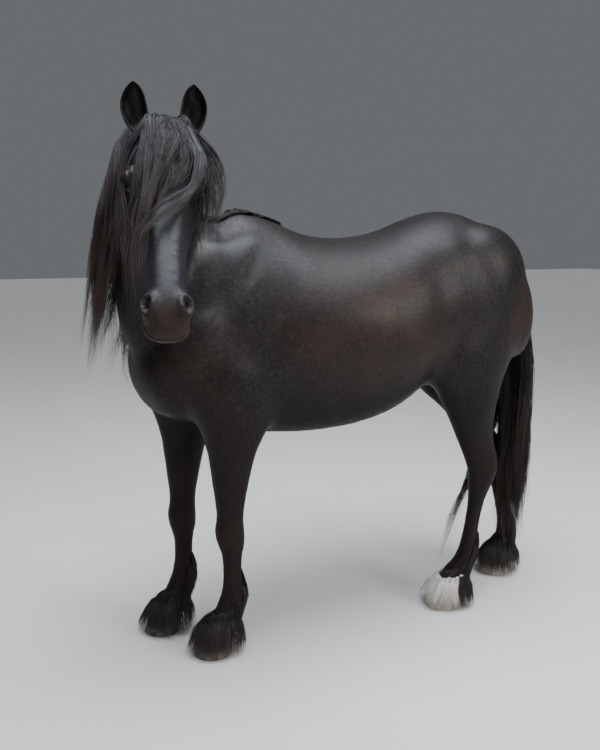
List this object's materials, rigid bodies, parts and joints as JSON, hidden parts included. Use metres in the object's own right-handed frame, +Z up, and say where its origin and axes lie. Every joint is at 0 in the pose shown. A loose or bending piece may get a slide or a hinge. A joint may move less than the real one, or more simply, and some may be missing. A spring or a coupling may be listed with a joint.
{
  "type": "friesian horse",
  "caption": "Black horse standing with its head turned to its left, with a long mane and tail and feathered feet; a still, life-size model.",
  "frame": {"origin": "centre of the bounding box's bottom face, on the ground", "axes": "+Z up, -Y towards the horse's breast, +Y towards its tail, +X the horse's left"},
  "size_m": [1.088, 1.9174, 1.8558],
  "materials": {
    "hide": "short sleek coat, near black with a brown cast",
    "hair": "long wavy hair",
    "horn": "dusty grey-brown horn",
    "horn_pale": "pale horn",
    "eye": "wet and dark"
  },
  "bodies": {
    "root": {"ear_left": "hide", "ear_right": "hide", "eye_left": "eye", "eye_right": "eye", "fore_cannon_left": "hide", "fore_cannon_right": "hide", "fore_hoof_left": "horn", "fore_hoof_right": "horn", "foreleg_left": "hide", "foreleg_right": "hide", "head": "hide", "hind_cannon_left": "hide", "hind_cannon_right": "hide", "hind_hoof_left": "horn_pale", "hind_hoof_right": "horn", "hindleg_left": "hide", "hindleg_right": "hide", "neck": "hide", "tail": "hair", "torso": "hide"}
  },
  "joints": []
}
